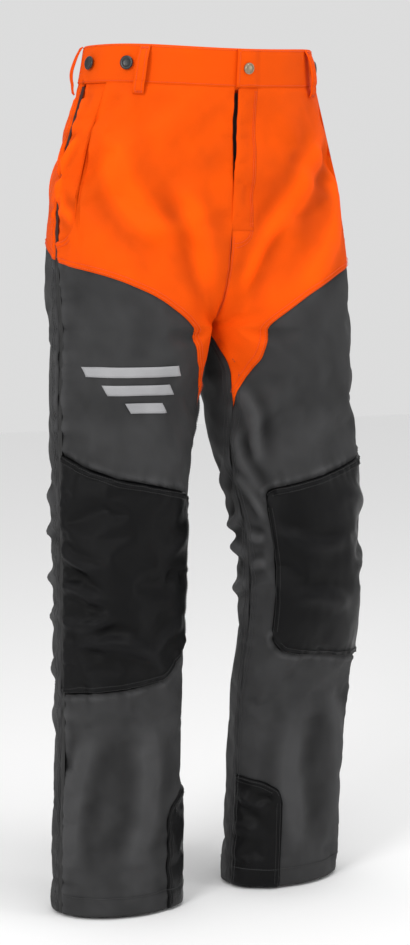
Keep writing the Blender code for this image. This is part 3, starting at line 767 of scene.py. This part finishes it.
def stitches_along(side, shares, heights, proud, stitch, thread):
    """The corners of each stitch of one row, as (stitches, corners, 3)."""
    place, _ = skin(side, shares, heights, proud)
    step = np.linalg.norm(np.diff(place, axis=0), axis=1)
    run = np.concatenate([[0], np.cumsum(step)])
    starts = np.arange(0.0005, run[-1] - stitch, stitch)

    def read(values, at):
        return np.stack([np.interp(at, run, values[:, k]) for k in range(3)], -1)

    first = read(place, starts)
    last = read(place, starts + 0.85 * stitch)
    above, _ = skin(side, shares, heights, proud + 0.001)
    way = unit(last - first)
    up = read(above - place, starts)
    up = unit(up - (up * way).sum(-1, keepdims=True) * way)
    aside = np.cross(up, way)
    length = np.linalg.norm(last - first, axis=-1)[:, None, None]
    x, y, z = (STITCH_POINTS[None, :, k, None] for k in range(3))
    return ((first + last)[:, None] / 2 + x * length * way[:, None]
            + thread * (y * aside[:, None] + 0.8 * z * up[:, None]))


def sew(name, rows, material, thread=THREAD, stitch=STITCH):
    """Rows of stitches as one object.  A row is (side, shares, heights, proud)."""
    groups = []
    for side, shares, heights, proud in rows:
        shares, heights, proud = np.broadcast_arrays(
            np.asarray(shares, float), np.asarray(heights, float), np.asarray(proud, float))
        groups.append(stitches_along(side, shares, heights, proud, stitch, thread))
    vertices = np.concatenate(groups)
    corners = vertices.shape[1]
    faces = [tuple(corners * n + i for i in face)
             for n in range(len(vertices)) for face in STITCH_FACES]
    return new_object(name, vertices, faces, material)


def beside(shares, heights, distance):
    """A line moved sideways in the cloth, to the left of its direction for a positive distance."""
    x = shares * RING
    dx, dz = np.gradient(x), np.gradient(heights)
    length = np.hypot(dx, dz)
    return (x - distance * dz / length) / RING, heights + distance * dx / length


def row(side, shares, heights, offset=0.0, proud=0.0004, lift=0.0004):
    """One row of stitches beside a line; lift is added where proud is a panel's own function."""
    shares, heights = np.broadcast_arrays(np.asarray(shares, float), np.asarray(heights, float))
    if offset:
        shares, heights = beside(shares, heights, offset)
    if callable(proud):
        proud = proud(shares, heights) + lift
    return side, shares, heights, proud


def along(stations, low, high, count=240):
    shares = np.linspace(low, high, count)
    return shares, smooth_curve(stations, shares)


# ---------------------------------------------------------------- waistband and fly
def band_proud(share, z):
    """The doubled band: its long edges are folds, so they round off; its tab lies on top."""
    down = band_top(np.maximum(share, 0)) - z
    to_edge = np.minimum(down, BAND_HEIGHT - down)
    rounded = 0.0014 * (1 - smoothstep(to_edge / 0.004))
    slack = 0.0005 * noise_sheet(share * RING / 0.030, z / 0.020, 90)
    return 0.0014 - rounded + slack


def tab_proud(share, z):
    return band_proud(share, z) + 0.0036 * smoothstep((FOLD_U + 0.008 - share) / 0.024)


def build_waistband():
    lines = {"right": (0.004, band_proud), "left": (-0.012, tab_proud)}
    for side, (start, proud) in lines.items():
        band = panel(f"waistband_{side}_cloth", side, start, 1.0, band_top, band_bottom, ORANGE,
                     proud=proud, thickness=0.0026, cell=0.0028)
        rows = []
        for drop in (0.0023, BAND_HEIGHT - 0.0025):
            shares = np.linspace(start + 0.006, 0.999, 420)
            rows.append(row(side, shares, band_top(shares) - drop, proud=proud))
        if side == "left":
            rows.append(row(side, -0.007, np.linspace(-0.009, -0.050, 40), proud=proud))
        thread = sew(f"waistband_{side}_stitches", rows, ORANGE_THREAD)
        for obj in (band, thread):
            if side == "left":
                flap_blend(obj)
            else:
                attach(obj, "garment")
        replaced = ("waistband_left", "waistband_tab") if side == "left" else (
            "waistband_right", "waistband_back")
        give(band, "orange_shell", *replaced)
        give(thread, "orange_shell")


def build_underlap():
    lap = panel("waistband_underlap_cloth", "left", -0.0015, 0.048, edge_moved(band_top, -0.003),
                edge_moved(band_bottom, 0.003), ORANGE, proud=-0.0042, thickness=0.0026)
    fix(lap, "garment", "orange_shell", "waistband_underlap")


def flap_proud(share, z):
    """The flap bulges a little, rolls at its free edge and is flush where it is sewn down."""
    down = np.clip((band_bottom(0.0) - z) / (band_bottom(0.0) - FLAP_BOTTOM_Z), 0, 1)
    free = smoothstep((FOLD_U - share) / FOLD_U) * smoothstep((1 - down) / 0.12)
    bulge = 0.0038 * free * np.sin(math.pi * smoothstep(down * 0.9 + 0.1))
    roll = 0.0010 * smoothstep((0.004 - share) / 0.008) * free
    return bulge + 0.0012 * free - roll


def build_fly():
    flap = panel("fly_flap_cloth", "left", -0.004, FOLD_U - 0.0003, edge_moved(band_bottom, 0.003),
                 level(FLAP_BOTTOM_Z + 0.0003), ORANGE, proud=flap_proud, thickness=0.0018,
                 cell=0.0026)
    give(flap, "orange_shell", "fly_flap")
    heights = np.linspace(-0.056, FLAP_BOTTOM_Z + 0.002, 160)
    rows = [row("left", FOLD_U - shift, heights, proud=flap_proud, lift=0.0005)
            for shift in (0.004, 0.009)]
    thread = sew("fly_stitches", rows, ORANGE_THREAD)
    give(thread, "orange_shell")
    for obj in (flap, thread):
        flap_blend(obj)
    for side in SIDES:
        guard = panel("fly_guard_" + side, side, 0.0, 0.055, edge_moved(band_bottom, -0.004),
                      level(FLAP_BOTTOM_Z), ORANGE, proud=-0.0125, thickness=0.0012)
        fix(guard, "garment", "orange_shell", "fly_guard")


def turned(name, profile, frame_matrix, material, steps=48):
    """A solid of revolution: profile is (radius, height) from the top of the axis to the bottom."""
    angle = np.arange(steps) * 2 * math.pi / steps
    radius, height = np.array(profile[1:-1]).T
    rings = np.stack([radius[:, None] * np.cos(angle), radius[:, None] * np.sin(angle),
                      np.repeat(height[:, None], steps, 1)], -1).reshape(-1, 3)
    points = np.concatenate([[[0, 0, profile[0][1]]], rings, [[0, 0, profile[-1][1]]]])
    last = len(points) - 1
    faces = []
    for i in range(steps):
        j = (i + 1) % steps
        faces.append((0, 1 + i, 1 + j))
        for k in range(len(radius) - 1):
            base = 1 + k * steps
            faces.append((base + i, base + steps + i, base + steps + j, base + j))
        base = 1 + (len(radius) - 1) * steps
        faces.append((base + i, last, base + j))
    obj = new_object(name, points, faces, material)
    obj.data.transform(frame_matrix)
    obj.data.set_sharp_from_angle(angle=math.radians(50))
    return obj


def surface_frame(side, share, z, proud):
    """A matrix on the cloth: Z points outward and Y as near up as it can."""
    here, _ = skin(side, share, z, proud, plain=True)
    above, _ = skin(side, share, z, proud + 0.001, plain=True)
    out = Vector(above - here).normalized()
    aside = Vector((0, 0, 1)).cross(out).normalized()
    axes = Matrix((aside, out.cross(aside), out)).transposed().to_4x4()
    return Matrix.Translation(Vector(here)) @ axes


def build_brace_buttons():
    """A dished head with a raised rim on a short shank."""
    profile = ((0.0, 0.0040), (0.0030, 0.0040), (0.0044, 0.0042), (0.0056, 0.0050),
               (0.0066, 0.0054), (0.0076, 0.0052), (0.0084, 0.0045), (0.0085, 0.0038),
               (0.0080, 0.0031), (0.0036, 0.0027), (0.0030, 0.0004), (0.0, 0.0004))
    for place, share in BUTTON_PLACES.items():
        for side in SIDES:
            z = band_top(share) - BUTTON_DROP
            button = turned(f"brace_button_{place}_{side}_turned", profile,
                            surface_frame(side, share, z, 0.0014), BUTTON)
            fix(button, "garment", "button_plastic", f"brace_button_{place}_{side}")


def build_snap():
    z = band_top(0.0) - BAND_HEIGHT / 2
    share = math.asin(SNAP_X / BAND_HALF_WIDTH) / math.pi
    cap = ((0.0, 0.0026), (0.0022, 0.0025), (0.0042, 0.0021), (0.0052, 0.0015), (0.0056, 0.0010),
           (0.0062, 0.0013), (0.0068, 0.0012), (0.0071, 0.0006), (0.0070, 0.0), (0.0, 0.0))
    head = turned("snap_cap_turned", cap, surface_frame("left", share, z, 0.0052), BRASS)
    fix(head, "fly_flap", "hardware_metal", "snap_cap")


def paint_carried():
    """CAD pieces that are shown as they are take the full finishes."""
    finishes = {"zip_coil_right": COIL, "zip_coil_left": COIL, "zip_tape_right": TAPE,
                "zip_tape_left": TAPE, "zip_slider": BRASS, "zip_pull": BRASS, "snap_stud": BRASS}
    for name, material in finishes.items():
        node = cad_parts[name]
        node.data.materials.clear()
        node.data.materials.append(material)


def loop_bow(at, half, number):
    """How far a belt loop stands off the band: tacked at its ends, bowed and slightly curled."""
    def bow(share, z):
        down = (band_top(at) - 0.001 - z) / (BAND_HEIGHT + 0.012)
        rise = np.sin(math.pi * np.clip(down, 0, 1)) ** 0.8
        curl = 0.0010 * np.cos(math.pi * (share - at) / half) + 0.0006 * np.sin(9 * down + number)
        return 0.0032 + (0.0090 + curl) * rise
    return bow


def loop_rows(side, at, half, bow):
    """A row of stitches near each edge of a belt loop, and a bar tack across each end."""
    rows = []
    heights = np.linspace(-0.002, -BAND_HEIGHT - 0.012, 90) + band_top(at)
    for offset in (-0.55, 0.55):
        rows.append(row(side, at + offset * half, heights, proud=bow, lift=0.0003))
    for drop in (0.0035, BAND_HEIGHT + 0.0098):
        for line in range(3):
            shares = np.linspace(at - 0.85 * half, at + 0.85 * half, 12)
            rows.append(row(side, shares, band_top(at) - drop - 0.0009 * line, proud=bow))
    return rows


def build_belt_loops():
    half = LOOP_HALF_WIDTH / WAIST_RING
    wanted = [(f"{name}_{side}", side, at) for name, at in LOOP_PLACES.items() for side in SIDES]
    wanted.append(("back_centre", "left", 1.0))
    for number, (name, side, at) in enumerate(wanted):
        bow = loop_bow(at, half, number)
        loop = panel(f"belt_loop_{name}_cloth", side, at - half, at + half,
                     edge_moved(band_top, -0.001), edge_moved(band_bottom, -0.013), ORANGE,
                     proud=bow, thickness=0.0018, cell=0.0019)
        fix(loop, "garment", "orange_shell", f"belt_loop_{name}")
        tacks = sew(f"belt_loop_{name}_stitches", loop_rows(side, at, half, bow), ORANGE_THREAD,
                    stitch=0.0024)
        fix(tacks, "garment", "orange_shell")


# ---------------------------------------------------------------- upper cloth
def slashed_top(share):
    """The front's upper edge: under the band, then down along the slanted pocket mouth."""
    band = band_bottom(share) + 0.004
    slash = smooth_curve(POCKET_SLASH, share)
    return np.where(share > POCKET_SLASH[0][0], np.minimum(slash, band), band)


def under_flap(share, z):
    """The left front is cut away where the flap takes its place."""
    return (share < FOLD_U) & (z > FLAP_BOTTOM_Z)


def open_fly(share, z):
    """The right front's edge stands back from the flap's edge, so that the zip shows."""
    gap = 0.013 * (1 - smoothstep((-0.060 - z) / 0.165))
    return share + gap * np.clip(1 - share / 0.08, 0, 1)


def front_proud(share, z):
    """The front's own edge turns in at the pocket mouth."""
    slash = smooth_curve(POCKET_SLASH, np.clip(share, POCKET_SLASH[0][0], 0.5))
    near = np.where(share > POCKET_SLASH[0][0] - 0.004, slash - z, 1.0)
    return 0.0016 * np.exp(-np.clip(near, 0, 1) / 0.010) * smoothstep(near / 0.0025)


def build_upper():
    hem = edge(ORANGE_HEM_FRONT)
    for side, warp, cut in (("right", open_fly, None), ("left", None, under_flap)):
        front = panel("front_cloth_" + side, side, 0.0, 0.5 - GROOVE, slashed_top, hem, ORANGE,
                      proud=front_proud, thickness=0.0012, warp=warp, cut=cut)
        seat = panel("seat_cloth_" + side, side, 0.5 + GROOVE, 1.0, edge_moved(band_bottom, 0.004),
                     edge(ORANGE_HEM_BACK), ORANGE, thickness=0.0012)
        facing = panel("pocket_facing_cloth_" + side, side, 0.350, 0.5 - GROOVE,
                       edge_moved(band_bottom, 0.003), edge_moved(edge(POCKET_SLASH), -0.020),
                       ORANGE, proud=-0.0024)
        bag = panel("pocket_bag_cloth_" + side, side, 0.23, 0.48, level(-0.064), level(-0.242),
                    LINING, proud=-0.0062, cell=0.006)
        for obj, node, slot in ((front, "front_", "orange_shell"), (seat, "seat_", "orange_shell"),
                                (facing, "pocket_facing_", "orange_shell"),
                                (bag, "pocket_bag_", "lining")):
            fix(obj, "garment", slot, node + side)
        build_upper_stitches(side)


def hook(shift):
    """The foot of the fly's stitching, which curves in to the centre seam."""
    angle = np.linspace(0, math.pi / 2, 40)
    start = FOLD_U - shift
    return start * (0.1 + 0.9 * np.cos(angle)), FLAP_BOTTOM_Z + 0.002 - (0.026 - shift) * np.sin(angle)


def build_upper_stitches(side):
    rows = [row(side, *hook(shift)) for shift in (0.004, 0.009) if side == "left"]
    for offset in (0.0022, 0.0068):
        rows.append(row(side, *along(ORANGE_HEM_FRONT, 0.012, 0.492), offset, proud=0.0012))
        rows.append(row(side, *along(ORANGE_HEM_BACK, 0.508, 0.990), offset))
    for offset in (-0.0020, -0.0070):
        rows.append(row(side, *along(POCKET_SLASH, 0.425, 0.497), offset, proud=0.0018))
    rows.append(row(side, 1 - 0.004, np.linspace(-0.052, CROTCH_Z + 0.004, 240)))
    rows.append(row(side, 0.004, np.linspace(FLAP_BOTTOM_Z - 0.006, CROTCH_Z + 0.004, 90)))
    rows.append(row(side, 0.5 + 0.0075 / RING, np.linspace(-0.052, -0.25, 160)))
    fix(sew("upper_stitches_" + side, rows, ORANGE_THREAD), "garment", "orange_shell")


# ---------------------------------------------------------------- legs
def rolled_edge(side):
    """How proud the knee patch stands, with its edges turned under and rounded."""
    top, bottom = edge(PATCH_TOP[side]), edge(PATCH_BOTTOM[side])

    def proud(share, z):
        to_edge = np.minimum(top(share) - z, z - bottom(share))
        to_edge = np.minimum(to_edge, (share - PATCH_INNER) * RING)
        return 0.0020 - 0.0014 * (1 - smoothstep(to_edge / 0.0032))
    return proud


def build_leg(side):
    front = panel("leg_front_cloth_" + side, side, 0.0, 0.5 - GROOVE,
                  edge_moved(edge(ORANGE_HEM_FRONT), 0.005), level(HEM_Z), GREY, proud=-0.0010)
    back = panel("leg_back_cloth_" + side, side, 0.5 + GROOVE, 1.0,
                 edge_moved(edge(ORANGE_HEM_BACK), 0.005), level(HEM_Z), GREY, proud=-0.0010)
    knee = panel("knee_patch_cloth_" + side, side, PATCH_INNER, 0.4985 - GROOVE,
                 edge(PATCH_TOP[side]), edge(PATCH_BOTTOM[side]), BLACK, proud=rolled_edge(side),
                 thickness=0.0016, cell=0.0030)
    for obj, slot, nodes in (
        (front, "grey_shell", ("thigh_front_", "knee_front_", "shin_front_")),
        (back, "grey_shell", ("thigh_back_", "knee_back_", "shin_back_")),
        (knee, "black_reinforcement", ("knee_patch_",)),
    ):
        leg_blend(obj)
        give(obj, slot, *(node + side for node in nodes))
    build_ankle_patch(side)
    build_inside(side)
    build_side_groove(side)
    build_leg_stitches(side)


def build_ankle_patch(side):
    top = edge(ANKLE_TOP)

    def proud(share, z):
        to_edge = np.minimum(top(share) - z, (ANKLE_OUTER - share) * RING)
        return 0.0017 - 0.0012 * (1 - smoothstep(to_edge / 0.003))

    patch = panel("ankle_patch_cloth_" + side, side, 0.0008, ANKLE_OUTER, top,
                  level(HEM_Z + 0.0005), ANKLE, proud=proud, thickness=0.0016, cell=0.0030)
    fix(patch, "shin_" + side, "black_reinforcement", "ankle_patch_" + side)


def quilted(share, z):
    """Channels sewn through the cut-stopping layers keep them in place."""
    return -0.0062 + 0.0011 * np.abs(np.sin(math.pi * share * RING / 0.034))


def build_inside(side):
    for name, top, bottom in (("thigh", -0.395, KNEE_TOP_Z - 0.002),
                              ("knee", KNEE_TOP_Z - 0.004, KNEE_BOTTOM_Z + 0.002),
                              ("shin", KNEE_BOTTOM_Z - 0.004, HEM_Z + 0.055)):
        pad = panel(f"pad_{name}_quilted_{side}", side, 0.092, 0.497, level(top), level(bottom),
                    PAD, proud=quilted, thickness=0.0040, cell=0.006, padded=True)
        if name == "knee":
            leg_blend(pad)
        else:
            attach(pad, "garment" if name == "thigh" else "shin_" + side)
        give(pad, "cut_stopping_pad", f"pad_{name}_{side}")
    lining = panel("leg_lining_cloth_" + side, side, 0.0, 1.0, level(CROTCH_Z - 0.012),
                   level(HEM_Z + 0.030), LINING, proud=-0.0126, cell=0.006)
    leg_blend(lining)
    give(lining, "lining", "leg_lining_" + side)


def groove_shadow_strip(name, side, top, bottom, material):
    """A dark strip sunk between the two lips of cloth along the side seam: painted shadow in its
    groove.
    """
    heights = np.linspace(top, bottom, round((top - bottom) / 0.002))
    path, _ = skin(side, 0.5, heights, -0.0022, plain=True)
    above, _ = skin(side, 0.5, heights, 0.0, plain=True)
    out = unit(above - path)
    aside = np.cross(unit(np.gradient(path, axis=0)), out)
    angle = np.arange(8) * math.pi / 4
    ring = (np.cos(angle)[None, :, None] * aside[:, None] * 0.0040
            + np.sin(angle)[None, :, None] * out[:, None] * 0.0011)
    points = (path[:, None] + ring).reshape(-1, 3)
    index = np.arange(len(points)).reshape(-1, 8)
    after = np.roll(index, -1, axis=1)
    faces = np.stack([index[:-1], after[:-1], after[1:], index[1:]], -1).reshape(-1, 4).tolist()
    faces += [index[0][::-1].tolist(), index[-1].tolist()]
    return new_object(name, points, faces, material)


def build_side_groove(side):
    split = ORANGE_HEM_FRONT[-1][1]
    # painted shadow: a dark brown strip in the groove beside the orange cloth
    upper = groove_shadow_strip("side_seam_upper_" + side, side, -0.050, split, GROOVE_SHADOW_STRIP)
    fix(upper, "garment", "orange_shell")
    # painted shadow: a black strip, in the black thread's colour, in the groove beside the grey cloth
    lower = groove_shadow_strip("side_seam_lower_" + side, side, split, HEM_Z + 0.001, BLACK_THREAD)
    leg_blend(lower)
    give(lower, "grey_shell")


def patch_rows(side):
    """Two rows of stitches inside the edges of the knee patch."""
    rows = []
    proud = rolled_edge(side)
    for offset in (0.0030, 0.0085):
        inner = PATCH_INNER + offset / RING
        for stations, turn in ((PATCH_TOP[side], -1), (PATCH_BOTTOM[side], 1)):
            line = along(stations, inner, 0.492)
            rows.append(row(side, *line, turn * offset, proud=proud, lift=0.0005))
        heights = np.linspace(PATCH_TOP[side][0][1] + 0.004, PATCH_BOTTOM[side][0][1] - 0.004, 120)
        rows.append(row(side, inner, heights, proud=proud, lift=0.0005))
    return rows


def ankle_rows(side):
    """Two rows of stitches inside the top and the outer edge of the ankle patch."""
    rows = []
    for offset in (0.0028, 0.0075):
        outer = ANKLE_OUTER - offset / RING
        rows.append(row(side, *along(ANKLE_TOP, 0.006, outer), -offset, proud=0.0021))
        heights = np.linspace(ANKLE_TOP[-1][1], HEM_Z + 0.004, 90)
        rows.append(row(side, outer, heights, proud=0.0021))
    return rows


def leg_rows(side):
    """Two rows of stitches beside the inseam and the side seam, and one above the hem."""
    rows = []
    for offset in (0.0050, 0.0100):
        heights = np.linspace(-0.36, HEM_Z + 0.003, 460)
        rows.append(row(side, offset / RING, heights,
                        proud=np.where(heights < ANKLE_TOP[0][1], 0.0021, -0.0005)))
        rows.append(row(side, 1 - offset / RING, heights, proud=-0.0005))
        heights = np.linspace(-0.262, HEM_Z + 0.003, 500)
        rows.append(row(side, 0.5 + (offset + 0.004) / RING, heights, proud=-0.0005))
    shares = np.linspace(0.002, 0.998, 420)
    rows.append(row(side, shares, HEM_Z + HEM_STITCHING,
                    proud=np.where(shares < ANKLE_OUTER, 0.0021, -0.0005)))
    return rows


def build_leg_stitches(side):
    for name, rows, material, slot in (
        ("patch_stitches_", patch_rows(side) + ankle_rows(side), BLACK_THREAD,
         "black_reinforcement"),
        ("leg_stitches_", leg_rows(side), GREY_THREAD, "grey_shell"),
    ):
        thread = sew(name + side, rows, material, thread=HEAVY_THREAD)
        leg_blend(thread)
        give(thread, slot)


def build_print():
    """A plain printed emblem on the right thigh: three slanted bars."""
    for number, (low, high) in enumerate(((0.165, 0.440), (0.215, 0.405), (0.265, 0.370))):
        top = -0.392 - 0.022 * number
        bar = panel(f"thigh_print_bar_{number + 1}", "right", low, high, level(top),
                    level(top - 0.0125), PRINT, proud=0.0005, thickness=0.0004, cell=0.004,
                    warp=lambda share, z: share + 0.7 * (z + 0.392) / RING)
        fix(bar, "garment", "grey_shell")


# ---------------------------------------------------------------- camera, light and floor
AIM = Vector((0.009, -0.005, -0.538))
EYE = Vector((-1.362, -2.673, -0.20))


def plain_material(name, colour):
    made = bpy.data.materials.new(name)
    made.use_nodes = True
    inputs = made.node_tree.nodes["Principled BSDF"].inputs
    inputs["Base Color"].default_value = (*colour, 1)
    inputs["Roughness"].default_value = 0.9
    return made


def area_light(name, place, size, power):
    lamp = bpy.data.lights.new(name, "AREA")
    lamp.shape = "RECTANGLE"
    lamp.size, lamp.size_y = size
    lamp.energy = power
    obj = bpy.data.objects.new(name, lamp)
    bpy.context.scene.collection.objects.link(obj)
    obj.location = place
    obj.rotation_euler = (AIM - Vector(place)).to_track_quat("-Z", "Y").to_euler()


def build_stage():
    camera = bpy.data.cameras.new("camera")
    camera.lens = 89.2
    camera.sensor_width = 36.0
    view = bpy.data.objects.new("camera", camera)
    bpy.context.scene.collection.objects.link(view)
    view.location = EYE
    view.rotation_euler = (AIM - EYE).to_track_quat("-Z", "Y").to_euler()
    bpy.context.scene.camera = view

    floor_z = HEM_Z - 0.004
    floor = new_object("floor", [(-6, -6, floor_z), (6, -6, floor_z), (6, 6, floor_z),
                                 (-6, 6, floor_z)], [(0, 1, 2, 3)],
                       plain_material("pale_floor", (0.93, 0.93, 0.93)))
    area_light("key", (-2.6, -1.9, 0.9), (1.0, 1.4), 56)
    area_light("fill", (2.0, -2.4, 0.2), (1.0, 1.6), 16)
    area_light("top", (0.2, -0.6, 2.0), (1.4, 1.0), 22)
    world = bpy.data.worlds.new("pale_studio")
    world.use_nodes = True
    inputs = world.node_tree.nodes["Background"].inputs
    inputs["Color"].default_value = (1, 1, 1, 1)
    inputs["Strength"].default_value = 0.72
    bpy.context.scene.world = world
    bpy.context.scene.view_settings.view_transform = "Standard"
    bpy.context.scene.view_settings.look = "None"


build_waistband()
build_underlap()
build_fly()
build_brace_buttons()
build_snap()
paint_carried()
build_belt_loops()
build_upper()
for side in SIDES:
    build_leg(side)
build_print()
build_stage()

bpy.context.view_layer.update()
